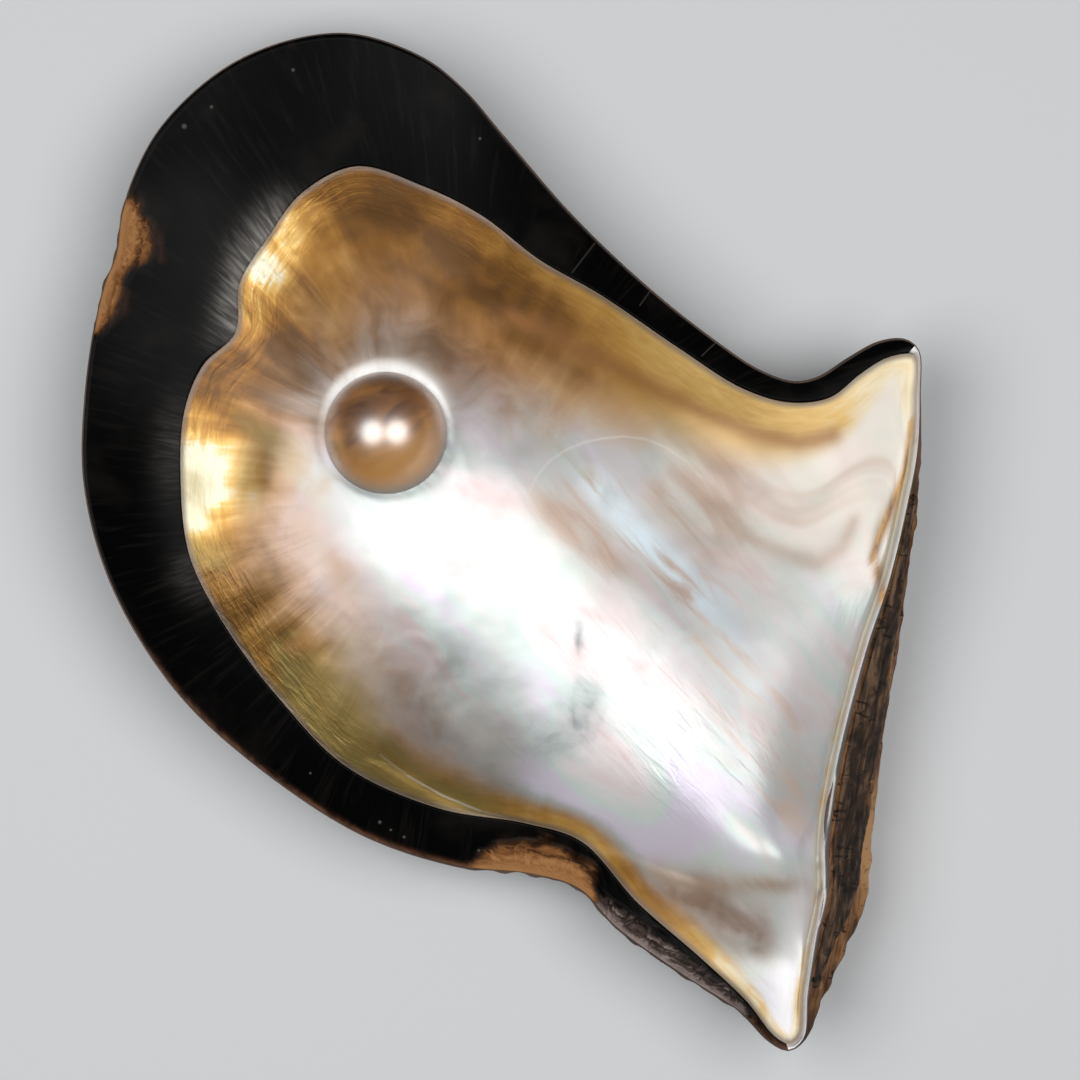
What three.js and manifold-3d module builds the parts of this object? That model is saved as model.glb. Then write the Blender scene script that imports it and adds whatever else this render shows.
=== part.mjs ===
// One valve of a winged pearl oyster, lying on its back with the nacre upwards, with the half pearl
// that grew on the nacre and the dried hinge ligament. Millimetres, +Z up.
import * as THREE from "three";
import { mergeVertices } from "three/addons/utils/BufferGeometryUtils.js";
import Module from "manifold-3d";

// Driving dimensions
const PEARL_DIAMETER = 18;
const PEARL_HEIGHT = 9.5;
const EDGE_THICKNESS = 1.4;
const MIDDLE_THICKNESS = 4.2;
const BELLY_THICKNESS = 1.8;
const BELLY_SPREAD = 20;
const NACRE_STEP = 0.6;
const NACRE_STEP_RUN = 0.5;
const UMBO_STEEPNESS = 1.2;
const REST_FLAT = 1.5;
const HINGE_LEAN = THREE.MathUtils.degToRad(9.6);
const LIGAMENT_THICKNESS = 0.9;
const LIGAMENT_SPAN = [0.782, 0.952]; // shares of the way round the margin
const LIGAMENT_INNER = 0.1; // shares of the way across the sloping band
const LIGAMENT_WIDTH = 0.55;
const SEAT_GAP = 0.3;

// Places in the plan, seen from above with the hinge on the right
const CENTRE = new THREE.Vector2(16, -20);
const PEARL_AT = new THREE.Vector2(-22.4, 15.7);
const BELLY_AT = new THREE.Vector2(5, 4);

// Mesh density
const SPOKES = 108;
const NACRE_RINGS = 14;
const BORDER_RINGS = 4;
const EDGE_RINGS = 3;
const BACK_RINGS = 15;
const PEARL_SIDES = 36;
const PEARL_STEPS = 9;
const LIGAMENT_STEPS = 26;

// The margin, anticlockwise from the wing tip and back up the hinge line: x, y, height above the plane
// where the two valves meet, and how far the back of the shell bulges out past it.
const MARGIN = [
  [54, 27, 0.4, 0.3],
  [52.2, 28.4, 0.5, 0.4],
  [48.6, 28.1, 0.3, 0.4],
  [44.3, 25.8, -0.2, 0.4],
  [40, 23.1, -0.8, 0.4],
  [36.5, 22.4, -1, 0.4],
  [31.5, 24, -0.8, 0.4],
  [24.5, 28.6, -0.4, 0.4],
  [14.5, 36.6, 0, 0.4],
  [4.2, 46.5, -0.2, 0.4],
  [-5.7, 58, -0.5, 0.4],
  [-11.4, 64.6, -0.8, 0.4],
  [-17.5, 69.2, -1, 0.4],
  [-28.6, 72.4, -1.5, 0.4],
  [-42.9, 68.7, -1.6, 0.4],
  [-54.3, 58.8, -1.4, 0.4],
  [-59.6, 47.4, -1.2, 0.4],
  [-60.6, 41, -1.2, 0.4],
  [-62.6, 35.5, -1.1, 0.4],
  [-65, 20, -1, 0.4],
  [-65, 7.5, -1, 0.4],
  [-61, -6.8, -1.1, 0.4],
  [-52.5, -20.8, -1.3, 0.4],
  [-42, -31, -1.6, 0.4],
  [-26, -41.8, -2, 0.4],
  [-12, -46.6, -2.4, 0.4],
  [-1, -47.9, -2.8, 0.4],
  [5.7, -50, -2.4, 0.4],
  [11, -55.4, -1.4, 0.4],
  [20, -61.8, -0.6, 0.4],
  [29, -67.6, -0.3, 0.4],
  [33, -71.6, -0.1, 0.4],
  [35.6, -72.8, 0, 0.4],
  [37.6, -71.2, 0, 0.6],
  [38.2, -65, 0, 2.8],
  [39.4, -57, 0, 5.4],
  [40.7, -50, 0, 6.9],
  [40.7, -43, 0, 7.3],
  [42.1, -33.5, 0, 7],
  [44.4, -23.5, 0, 5.9],
  [47, -14.3, 0, 4.9],
  [49.8, -6, 0, 3],
  [52.3, 4.4, 0, 1.8],
  [53.9, 13, 0.1, 0.7],
  [54.2, 20.7, 0.3, 0.3],
];

// The edge of the nacre, inside the dark border, in the same order: x, y.
const NACRE_EDGE = [
  [53.7, 26.3],
  [50, 26.2],
  [46, 23.9],
  [41.5, 20.4],
  [35.7, 19.7],
  [29, 21.7],
  [20, 27.4],
  [8.6, 35.2],
  [0, 40.2],
  [-8.6, 46.8],
  [-17, 51],
  [-26.4, 53.8],
  [-34.3, 50],
  [-39.3, 43.5],
  [-43.3, 37.1],
  [-44, 30],
  [-48.6, 25.3],
  [-51.3, 18.6],
  [-51.9, 8],
  [-50.5, -2.5],
  [-45, -13],
  [-37, -23.5],
  [-27.9, -32.6],
  [-14.3, -38.7],
  [-2, -40.8],
  [6, -43.4],
  [14, -52],
  [23, -59.8],
  [29.6, -66],
  [33.4, -70.8],
  [35.6, -72],
  [37.1, -70.8],
  [37.7, -65],
  [38.9, -57],
  [40.2, -50],
  [40.2, -43],
  [41.6, -33.5],
  [43.9, -23.5],
  [46.5, -14.3],
  [49.3, -6],
  [51.8, 4.4],
  [53.4, 13],
  [53.8, 20.7],
];

// Heights of the hollow inside the margin: x, y, height.
const HOLLOW = [
  [39, -47, -4.6],
  [36.5, -44, -7.6],
  [32.5, -40, -9.2],
  [22.9, -31.4, -10.6],
  [8.6, -18.6, -12.8],
  [-5.7, -8.6, -13.8],
  [-20, -0.7, -13.8],
  [-34.3, 7.1, -12.2],
  [-39, 8.8, -11.2],
  [-43, 9.8, -9],
  [-46.4, 10.7, -8.2],
  [-51.5, 11, -7.9],
  [-22.4, 15.7, -12.9],
  [-22.9, 28.6, -9.8],
  [-41.5, 30, -8.6],
  [-33, 24, -11],
  [-20, 44, -7],
  [-27, 52.5, -5.2],
  [-42, 40, -6.6],
  [-8, 35, -7.6],
  [-5.7, 20, -10.6],
  [0.5, 39, -4],
  [14.3, 17, -7.4],
  [9.5, 33.5, -3.2],
  [22.9, 25, -2],
  [22.9, 8.6, -6.2],
  [31.4, -2.9, -5.8],
  [38, -18, -6],
  [36, 13, -2.2],
  [44.3, 15.7, -0.8],
  [48, 5, -0.6],
  [-50, -3, -7.2],
  [-33, -13, -9.8],
  [-44, -14, -6.4],
  [-17, -22, -10.6],
  [-27, -32, -5.8],
  [-12, -36.5, -6],
  [3, -34, -9.8],
  [5, -43, -5.4],
  [12, -38, -9.6],
  [20, -46, -5.4],
  [24, -54, -2.4],
  [31.5, -58, -1],
  [35, -66, -0.2],
  [-50, 50, -4.4],
  [-33, 62, -3.4],
  [-58, 18, -4.4],
  [-55, -8, -4.2],
  [-38, -28, -4],
  [22, -40, -9.4],
];

// A closed smooth curve through plan points.
function closedCurve(points) {
  const corners = points.map(([x, y, z = 0]) => new THREE.Vector3(x, y, z));
  return new THREE.CatmullRomCurve3(corners, true, "centripetal");
}

// Solves a square set of linear equations by elimination.
function solveLinear(matrix, right) {
  const rows = matrix.map((row, i) => [...row, right[i]]);
  const size = rows.length;
  for (let column = 0; column < size; column++) {
    let pivot = column;
    for (let i = column + 1; i < size; i++) {
      if (Math.abs(rows[i][column]) > Math.abs(rows[pivot][column])) pivot = i;
    }
    [rows[column], rows[pivot]] = [rows[pivot], rows[column]];
    for (let i = 0; i < size; i++) {
      if (i === column) continue;
      const share = rows[i][column] / rows[column][column];
      for (let j = column; j <= size; j++) rows[i][j] -= share * rows[column][j];
    }
  }
  return rows.map((row, i) => row[size] / row[i]);
}

// A smooth height field through points with known heights: cubic radial functions on a sloping plane.
function heightField(points) {
  const UNIT = 10;
  const kernel = (x, y, point) => (Math.hypot(x - point[0], y - point[1]) / UNIT) ** 3;
  const plane = (x, y) => [1, x / UNIT, y / UNIT];
  const matrix = points.map(([x, y]) => [...points.map((p) => kernel(x, y, p)), ...plane(x, y)]);
  for (let k = 0; k < 3; k++) {
    matrix.push([...points.map(([x, y]) => plane(x, y)[k]), 0, 0, 0]);
  }
  const weights = solveLinear(matrix, [...points.map((p) => p[2]), 0, 0, 0]);
  const [level, slopeX, slopeY] = weights.slice(points.length);
  return (x, y) => {
    let height = level + (slopeX * x + slopeY * y) / UNIT;
    for (let i = 0; i < points.length; i++) height += weights[i] * kernel(x, y, points[i]);
    return height;
  };
}

// The distance from the centre to a closed curve, as a function of direction.
function reachOf(curve) {
  const samples = curve.getPoints(600).map((p) => {
    const arm = new THREE.Vector2(p.x, p.y).sub(CENTRE);
    return { angle: arm.angle(), reach: arm.length() };
  });
  samples.sort((a, b) => a.angle - b.angle);
  return (angle) => {
    const turn = THREE.MathUtils.euclideanModulo(angle, 2 * Math.PI);
    const next = samples.findIndex((p) => p.angle >= turn);
    const b = samples[next < 0 ? 0 : next];
    const a = samples[next <= 0 ? samples.length - 1 : next - 1];
    const span = THREE.MathUtils.euclideanModulo(b.angle - a.angle, 2 * Math.PI);
    const share = THREE.MathUtils.euclideanModulo(turn - a.angle, 2 * Math.PI) / (span || 1);
    return THREE.MathUtils.lerp(a.reach, b.reach, share);
  };
}

const margin = closedCurve(MARGIN);
const bulgeCurve = closedCurve(MARGIN.map((row) => [row[3], 0]));
const nacreReach = reachOf(closedCurve(NACRE_EDGE));
const hollow = heightField([...MARGIN, ...HOLLOW]);

// A spoke runs from the centre of the hollow to one point of the margin.
function spokeAt(share) {
  const rim = margin.getPointAt(share);
  const tangent = margin.getTangentAt(share);
  const arm = new THREE.Vector2(rim.x, rim.y).sub(CENTRE);
  return {
    arm,
    outward: new THREE.Vector2(tangent.y, -tangent.x).normalize(),
    bulge: bulgeCurve.getPoint(margin.getUtoTmapping(share)).x,
    nacre: Math.min(nacreReach(arm.angle()), arm.length() - NACRE_STEP_RUN) / arm.length(),
  };
}

// A point of the inside, at a share of the way out along a spoke.
function insidePoint(spoke, share) {
  const x = CENTRE.x + spoke.arm.x * share;
  const y = CENTRE.y + spoke.arm.y * share;
  return new THREE.Vector3(x, y, hollow(x, y));
}

// The border lies one nacre thickness lower than the nacre and meets the margin at its own height.
function borderPoint(spoke, share) {
  const point = insidePoint(spoke, share);
  const out = (share - spoke.nacre) / (1 - spoke.nacre);
  point.z = THREE.MathUtils.lerp(point.z - NACRE_STEP, point.z, out ** 2);
  return point;
}

// The edge of the shell: thin and rounded round the border, a sloping band along the hinge.
function edgeDrop(spoke) {
  return EDGE_THICKNESS + UMBO_STEEPNESS * spoke.bulge;
}

function edgePoint(spoke, share) {
  const rim = insidePoint(spoke, 1);
  const out = spoke.bulge * Math.sin((share * Math.PI) / 2);
  const x = rim.x + spoke.outward.x * out;
  const y = rim.y + spoke.outward.y * out;
  return new THREE.Vector3(x, y, rim.z - edgeDrop(spoke) * share);
}

// The back follows the inside at the shell's thickness, which swells under the belly and at the umbo.
function backPoint(spoke, share) {
  const point = insidePoint(spoke, share);
  const fromBelly = Math.hypot(point.x - BELLY_AT.x, point.y - BELLY_AT.y) / BELLY_SPREAD;
  const belly = MIDDLE_THICKNESS + BELLY_THICKNESS * Math.exp(-(fromBelly ** 2));
  const thickness = THREE.MathUtils.lerp(belly, EDGE_THICKNESS, share ** 2);
  const swell = (edgeDrop(spoke) - EDGE_THICKNESS) * share ** 3;
  point.x += spoke.outward.x * spoke.bulge * share ** 4;
  point.y += spoke.outward.y * spoke.bulge * share ** 4;
  point.z -= thickness + swell;
  return point;
}

// Closes a stack of rings, capped by one point at each end, into a mesh whose faces point outwards.
function closedRings(first, rings, last) {
  const count = rings[0].length;
  const points = [first, ...rings.flat(), last];
  const at = (ring, i) => 1 + ring * count + (i % count);
  const index = [];
  for (let i = 0; i < count; i++) {
    index.push(0, at(0, i), at(0, i + 1));
    index.push(points.length - 1, at(rings.length - 1, i + 1), at(rings.length - 1, i));
    for (let ring = 0; ring + 1 < rings.length; ring++) {
      index.push(at(ring, i), at(ring + 1, i), at(ring, i + 1));
      index.push(at(ring, i + 1), at(ring + 1, i), at(ring + 1, i + 1));
    }
  }
  return new THREE.BufferGeometry().setFromPoints(points).setIndex(index);
}

function steps(count) {
  return Array.from({ length: count }, (_, i) => (i + 1) / count);
}

// The valve: nacre, border, edge and back as one closed skin.
function valveGeometry() {
  const spokes = Array.from({ length: SPOKES }, (_, i) => spokeAt(i / SPOKES));
  const ring = (pointOn) => spokes.map(pointOn);
  const nacreRings = steps(NACRE_RINGS).map((out) => ring((s) => insidePoint(s, s.nacre * out ** 0.85)));
  const borderRings = [0, ...steps(BORDER_RINGS)].slice(0, -1).map((out) =>
    ring((s) => {
      const foot = s.nacre + NACRE_STEP_RUN / s.arm.length();
      return borderPoint(s, THREE.MathUtils.lerp(foot, 1, out));
    }),
  );
  const edgeRings = [0, ...steps(EDGE_RINGS)].map((share) => ring((s) => edgePoint(s, share)));
  const backRings = steps(BACK_RINGS)
    .reverse()
    .slice(1)
    .map((share) => ring((s) => backPoint(s, share)));
  const middle = insidePoint(spokes[0], 0);
  const under = backPoint(spokes[0], 0);
  const rest = Math.min(...backRings.flat().map((p) => p.z)) + REST_FLAT;
  backRings.flat().forEach((p) => (p.z = Math.max(p.z, rest)));
  under.z = Math.max(under.z, rest);
  return closedRings(middle, [...nacreRings, ...borderRings, ...edgeRings, ...backRings], under);
}

const wasm = await Module();
wasm.setup();

// A closed geometry as a solid, and back.
function solidOf(geometry) {
  const bare = new THREE.BufferGeometry().setAttribute("position", geometry.getAttribute("position"));
  const merged = mergeVertices(bare.setIndex(geometry.index), 1e-3);
  const vertProperties = merged.attributes.position.array;
  const triVerts = new Uint32Array(merged.index.array);
  return new wasm.Manifold(new wasm.Mesh({ numProp: 3, vertProperties, triVerts }));
}

function geometryOf(solid) {
  const { vertProperties, triVerts } = solid.getMesh();
  return new THREE.BufferGeometry()
    .setAttribute("position", new THREE.BufferAttribute(vertProperties, 3))
    .setIndex(new THREE.BufferAttribute(triVerts, 1));
}

// The half pearl: a dome whose foot follows the nacre that it grew on.
function pearlGeometry(valve) {
  const radius = PEARL_DIAMETER / 2;
  const seat = hollow(PEARL_AT.x, PEARL_AT.y);
  const foot = seat - MIDDLE_THICKNESS / 2;
  const profile = [new THREE.Vector2(0, foot), new THREE.Vector2(radius, foot)];
  for (let i = 0; i <= PEARL_STEPS; i++) {
    const turn = (i / PEARL_STEPS) * (Math.PI / 2);
    profile.push(new THREE.Vector2(radius * Math.cos(turn), seat + PEARL_HEIGHT * Math.sin(turn)));
  }
  const dome = new THREE.LatheGeometry(profile, PEARL_SIDES);
  dome.rotateX(Math.PI / 2).translate(PEARL_AT.x, PEARL_AT.y, 0);
  const bed = solidOf(valve.clone().translate(0, 0, SEAT_GAP));
  const lowerBed = bed.translate(0, 0, -MIDDLE_THICKNESS / 2);
  return geometryOf(solidOf(dome).subtract(bed).subtract(lowerBed));
}

// The hinge ligament: a tapering strip on the sloping band outside the hinge line.
function ligamentGeometry() {
  const crown = SEAT_GAP + LIGAMENT_THICKNESS;
  const rings = [0, ...steps(LIGAMENT_STEPS)].map((along) => {
    const spoke = spokeAt(THREE.MathUtils.lerp(...LIGAMENT_SPAN, along));
    const width = LIGAMENT_WIDTH * Math.sin(Math.PI * THREE.MathUtils.lerp(0.08, 0.92, along));
    const across = [0, 0.5, 1].map((part) => edgePoint(spoke, LIGAMENT_INNER + width * part));
    const tangent = new THREE.Vector3(-spoke.outward.y, spoke.outward.x, 0);
    const normal = across[2].clone().sub(across[0]).cross(tangent).normalize();
    const lifted = (height) => across.map((point) => point.clone().addScaledVector(normal, height));
    return [...lifted(SEAT_GAP), ...lifted(crown).reverse()];
  });
  const middleOf = (ring) => {
    const sum = ring.reduce((total, point) => total.add(point), new THREE.Vector3());
    return sum.divideScalar(ring.length);
  };
  return closedRings(middleOf(rings[0]), rings, middleOf(rings.at(-1)));
}

function named(name, geometry, color, roughness) {
  geometry.computeVertexNormals();
  const material = new THREE.MeshStandardMaterial({ color, roughness, metalness: 0 });
  const mesh = new THREE.Mesh(geometry, material);
  mesh.name = name;
  return mesh;
}

const valve = valveGeometry();
const laid = new THREE.Group();
laid.add(named("valve", valve, 0xcfc2b2, 0.3));
laid.add(named("half_pearl", pearlGeometry(valve), 0x9a6a3a, 0.15));
laid.add(named("hinge_ligament", ligamentGeometry(), 0x3a2718, 0.8));

// The hinge line lies along Y, and the origin is in the middle of the part's box, where it rests.
laid.rotation.z = HINGE_LEAN;
laid.updateMatrixWorld(true);
const box = new THREE.Box3().setFromObject(laid, true);
const middle = box.getCenter(new THREE.Vector3());
laid.position.set(-middle.x, -middle.y, -box.min.z);

const oyster = new THREE.Group();
oyster.add(laid);
export default oyster;
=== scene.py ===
import math

import bpy
import numpy as np
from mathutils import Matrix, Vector, noise


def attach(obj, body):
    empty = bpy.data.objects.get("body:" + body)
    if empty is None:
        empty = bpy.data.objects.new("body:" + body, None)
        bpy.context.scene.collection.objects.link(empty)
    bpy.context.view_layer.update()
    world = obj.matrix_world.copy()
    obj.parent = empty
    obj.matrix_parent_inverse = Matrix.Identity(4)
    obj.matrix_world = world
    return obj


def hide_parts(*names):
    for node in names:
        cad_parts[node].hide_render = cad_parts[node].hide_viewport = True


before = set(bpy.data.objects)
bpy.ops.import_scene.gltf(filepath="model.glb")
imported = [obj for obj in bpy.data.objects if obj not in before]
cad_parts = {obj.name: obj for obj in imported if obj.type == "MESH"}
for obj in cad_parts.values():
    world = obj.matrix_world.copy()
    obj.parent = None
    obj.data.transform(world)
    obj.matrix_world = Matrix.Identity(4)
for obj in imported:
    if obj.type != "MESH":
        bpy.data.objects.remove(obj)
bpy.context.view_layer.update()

# The valve: one half of a winged pearl oyster, grown as a single piece of shell. Nacre lines the hollow, a
# border of black prisms runs round it, and the hinge line, wing, ear, umbo and rough back belong to the same
# piece. It lies loose on its back. Lengths are in millimetres, in a plan with the hinge on the right.
SPOKES, CURVE_STEPS = 480, 24
FIELD_RINGS, BORDER_RINGS, EDGE_RINGS, BACK_RINGS = 84, 26, 18, 56
FIELD_STOP, FIELD_SPACING = 3, 0.9
LIP_DEPTHS = (2.4, 1.9, 1.5, 1.1, 0.8, 0.5, 0.3, 0.12, 0)
FOOT_DEPTHS = (-0.2, -0.5)
CENTRE = np.array((16, -20))
PEARL_AT = np.array((-22.4, 15.7))
PEARL_RADIUS, PEARL_HEIGHT = 9, 9.5
BELLY_AT = np.array((5, 4))
EDGE_THICKNESS, MIDDLE_THICKNESS, BELLY_THICKNESS, BELLY_SPREAD = 1.4, 4.2, 1.8, 20
NACRE_STEP, LIP_ROUND, LIP_WIDTH = 0.6, 0.05, 1.2
LEAST_BORDER, BORDER_FADE, BORDER_SEEN = 0.5, (0.8, 2.6), 0.05
RIDGE_WIDTH, RIDGE_TOP, RIDGE_STEEPNESS = 1.2, 0.1, 3.0
EDGE_BLEND, EDGE_SKIP = 3, 3
UMBO_STEEPNESS = 1.2
UMBO_AT = np.array((38.5, -47))
HINGE_BULGE, FREE_BULGE = 0.65, 0.45
HINGE_LEAN = math.radians(9.6)
FRAME_SHIFT = np.array((6.4469, -0.5038, 17.5201))
PLACES_AT_ONCE = 4096

# x, y, height and outward bulge round the margin, from the wing tip over the top to the ear and up the hinge
MARGIN = np.array(
    (
        (54, 27, 0.4, 0.3), (52.2, 28.4, 0.5, 0.4), (48.6, 28.1, 0.3, 0.4), (44.3, 25.8, -0.2, 0.4),
        (40, 23.1, -0.8, 0.4), (36.5, 22.4, -1, 0.4), (31.5, 24, -0.8, 0.4), (24.5, 28.6, -0.4, 0.4),
        (14.5, 36.6, 0, 0.4), (4.2, 46.5, -0.2, 0.4), (-5.7, 58, -0.5, 0.4), (-11.4, 64.6, -0.8, 0.4),
        (-17.5, 69.2, -1, 0.4), (-28.6, 72.4, -1.5, 0.4), (-42.9, 68.7, -1.6, 0.4), (-54.3, 58.8, -1.4, 0.4),
        (-59.6, 47.4, -1.2, 0.4), (-60.6, 41, -1.2, 0.4), (-62.6, 35.5, -1.1, 0.4), (-65, 20, -1, 0.4),
        (-65, 7.5, -1, 0.4), (-61, -6.8, -1.1, 0.4), (-52.5, -20.8, -1.3, 0.4), (-42, -31, -1.6, 0.4),
        (-26, -41.8, -2, 0.4), (-12, -46.6, -2.4, 0.4), (-1, -47.9, -2.8, 0.4), (5.7, -50, -2.4, 0.4),
        (11, -55.4, -1.4, 0.4), (20, -61.8, -0.6, 0.4), (29, -67.6, -0.3, 0.4), (33, -71.6, -0.1, 0.4),
        (35.6, -72.8, 0, 0.4), (37.6, -71.2, 0, 0.6), (38.2, -65, 0, 2.8), (39.4, -57, 0, 5.4),
        (40.7, -50, 0, 6.9), (40.7, -43, 0, 7.3), (42.1, -33.5, 0, 7), (44.4, -23.5, 0, 5.9),
        (47, -14.3, 0, 4.9), (49.8, -6, 0, 3), (52.3, 4.4, 0, 1.8), (53.9, 13, 0.1, 0.7),
        (54.2, 20.7, 0.3, 0.3),
    )
)
# x, y, width of the coloured band, and its darkness at the edge and further in, round the nacre's edge. The
# darkness is the band's own colour, with painted shade in it on the lower left and a painted highlight by the
# left lip
NACRE_EDGE = np.array(
    (
        (53.7, 26.3, 3, 0.1, 0.1), (50, 26.2, 4, 0.1, 0.1), (46, 23.9, 6, 0.1, 0.15),
        (41.5, 20.4, 8, 0.2, 0.22), (35.7, 19.7, 10, 0.26, 0.24), (29, 21.7, 11, 0.24, 0.26),
        (20, 27.4, 14, 0.26, 0.34), (8.6, 35.2, 19, 0.42, 0.68), (0, 40.2, 24, 0.45, 0.85),
        (-8.6, 46.8, 28, 0.75, 0.97), (-17, 51, 29, 0.95, 0.95), (-26.4, 53.8, 31, 0.9, 0.92),
        (-34.3, 50, 33, 0.85, 0.85), (-39.3, 43.5, 30, 0.15, 0.72), (-43.3, 37.1, 27, 0.02, 0.72),
        (-44, 30, 22, 0.5, 0.95), (-48.6, 25.3, 19, 0.95, 1.15), (-51.3, 18.6, 17, 0.5, 0.66),
        (-51.9, 8, 16, -0.6, 0.3), (-50.5, -2.5, 14, 0.9, 1.2), (-45, -13, 14, 0.95, 0.85),
        (-37, -23.5, 13, 0.65, 0.55), (-27.9, -32.6, 9, 0.85, 0.5), (-14.3, -38.7, 6.5, 0.55, 0.55),
        (-2, -40.8, 3.5, 0.45, 0.4), (6, -43.4, 3, 0.45, 0.4), (14, -52, 4, 0.6, 0.55),
        (23, -59.8, 3.5, 0.2, 0.45), (29.6, -66, 3, 0.05, 0.15), (33.4, -70.8, 2, 0, 0), (35.6, -72, 1, 0, 0),
        (37.1, -70.8, 1, 0, 0), (37.7, -65, 1, 0, 0), (38.9, -57, 1, 0, 0), (40.2, -50, 1, 0, 0),
        (40.2, -43, 1, 0, 0), (41.6, -33.5, 1, 0, 0), (43.9, -23.5, 1, 0, 0), (46.5, -14.3, 1, 0, 0),
        (49.3, -6, 1, 0, 0), (51.8, 4.4, 1, 0, 0), (53.4, 13, 1, 0, 0), (53.8, 20.7, 1, 0, 0),
    )
)
# x, y and height of points in the hollow
HOLLOW = np.array(
    (
        (39, -47, -4.6), (36.5, -44, -7.6), (32.5, -40, -9.2), (22.9, -31.4, -10.6), (8.6, -18.6, -12.8),
        (-5.7, -8.6, -13.8), (-20, -0.7, -13.8), (-34.3, 7.1, -12.2), (-39, 8.8, -11.2), (-43, 9.8, -9),
        (-46.4, 10.7, -8.2), (-51.5, 11, -7.9), (-22.4, 15.7, -12.9), (-22.9, 28.6, -9.8),
        (-41.5, 30, -8.6), (-33, 24, -11), (-20, 44, -7), (-27, 52.5, -5.2), (-42, 40, -6.6),
        (-8, 35, -7.6), (-5.7, 20, -10.6), (0.5, 39, -4), (14.3, 17, -7.4), (9.5, 33.5, -3.2),
        (22.9, 25, -2), (22.9, 8.6, -6.2), (31.4, -2.9, -5.8), (38, -18, -6), (36, 13, -2.2),
        (44.3, 15.7, -0.8), (48, 5, -0.6), (-50, -3, -7.2), (-33, -13, -9.8), (-44, -14, -6.4),
        (-17, -22, -10.6), (-27, -32, -5.8), (-12, -36.5, -6), (3, -34, -9.8), (5, -43, -5.4),
        (12, -38, -9.6), (20, -46, -5.4), (24, -54, -2.4), (31.5, -58, -1), (35, -66, -0.2),
        (-50, 50, -4.4), (-33, 62, -3.4), (-58, 18, -4.4), (-55, -8, -4.2), (-38, -28, -4),
        (22, -40, -9.4),
    )
)
# Lines on the inside: x, y of the points that each runs through
LOWER_FOLD = ((-22, -32), (-15, -36), (-8.6, -39.3), (8.6, -43.4), (22.9, -48.4), (37.9, -48.4))
TROUGH_EDGE = ((2.9, 0), (15.7, -8.6), (28.6, -21.4), (30.7, -31.4), (38.9, -42.9))
SCAR = (
    (-1.9, 5), (-1.5, 7.2), (-0.4, 9.4), (1.3, 11.4), (3.6, 13), (6.2, 14.1), (9, 14.7),
    (12, 15), (15.2, 14.6), (18.3, 13.3), (21, 11.4), (23.2, 9), (25, 6.2), (26.2, 3.2),
)
STREAKS = ((3, 12), (12, 2), (22, -10), (30, -24), (36, -37))
RUST_ZONE = ((-1, 6.5), (4, 3.5), (9, -0.3), (15, -5.6), (22, -13))
BLUE_STREAK = ((4, 14.5), (8.5, 8), (13.5, 1.5), (19, -3.5), (24, -9), (31, -21))
FOLD_CREST_HIGHLIGHT = ((-23, -31), (-19, -34), (-14, -36.8), (-8.6, -39), (-3, -40.4))
TAN_ZONE = ((-33, 2), (-27.5, -7), (-23.5, -17), (-16, -26), (-6, -33))
SHADE_ZONE = ((-26, -8), (-20, -13), (-13, -18.5), (-6, -24.5))
BEIGE_ZONE = ((24, -14), (30, -21), (33.5, -29), (37, -40))
TROUGH = ((-34, 7), (-20, -1), (-5.7, -8.6), (8.6, -18.6), (24, -32.5))
BROWN_STRIPE = ((-4, 32.4), (4.4, 28.2), (14.7, 22.8), (23.4, 18.4), (31.1, 15.2), (37, 14), (42, 15))
PINK_STRIPE = ((19, 10), (24.3, 5.7), (29.4, 0.6), (34.7, -1.6), (39.9, -3.4), (43.3, -1.1), (45, 2.9))
AMBER_GROOVE = ((53.1, 17), (52.1, 10), (50.7, 5.7), (48.9, 1.4), (47.4, -2.9))
LEFT_CHIP = ((-59.2, 47.5), (-60.2, 43.5), (-60.8, 39))
LEFT_SLIVER = ((-61, 39.5), (-62.6, 35.5), (-63.8, 30))
NOTCH_CHIP = ((-10, -47.4), (-4, -47), (1, -47.6), (5, -48.6), (7.5, -51.5))
LAMINATE = ((6, -50.4), (11, -55.4), (20, -61.8), (29, -67.6))
LAMINATE_WIDTH = 3.2
# Each broken stretch of the margin: its line, the width of the chip and the width of the stain round it
BREAKS = ((LEFT_CHIP, 5.6, 9), (LEFT_SLIVER, 3, 5), (NOTCH_CHIP, 4.2, 6))


def eased(low, high, value):
    """0 below low, 1 above high and a smooth rise between them."""
    share = np.clip((value - low) / (high - low), 0, 1)
    return share * share * (3 - 2 * share)


def bell(distance, width, power=2):
    """1 where the distance is 0, falling to nothing beyond about the width."""
    return np.exp(-((distance / width) ** power))


def closed_curve(rows, per_span):
    """Points on a smooth closed curve through the rows, with every column carried along."""
    spans = []
    share = np.arange(per_span)[:, None] / per_span
    for i in range(len(rows)):
        p0, p1, p2, p3 = (rows[(i + k) % len(rows)] for k in (-1, 0, 1, 2))
        d0, d1, d2 = (np.linalg.norm((b - a)[:2]) ** 0.5 for a, b in ((p0, p1), (p1, p2), (p2, p3)))
        leave = ((p1 - p0) / d0 - (p2 - p0) / (d0 + d1) + (p2 - p1) / d1) * d1
        arrive = ((p2 - p1) / d1 - (p3 - p1) / (d1 + d2) + (p3 - p2) / d2) * d1
        bend = -3 * p1 + 3 * p2 - 2 * leave - arrive
        twist = 2 * p1 - 2 * p2 + leave + arrive
        spans.append(p1 + leave * share + bend * share**2 + twist * share**3)
    return np.concatenate(spans)


def run_length(rows):
    """The length of a line up to each of its rows."""
    return np.cumsum(np.linalg.norm(np.diff(rows[:, :2], axis=0, prepend=rows[:1, :2]), axis=1))


def at_lengths(rows, lengths):
    return np.stack([np.interp(lengths, run_length(rows), column) for column in rows.T], axis=1)


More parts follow.
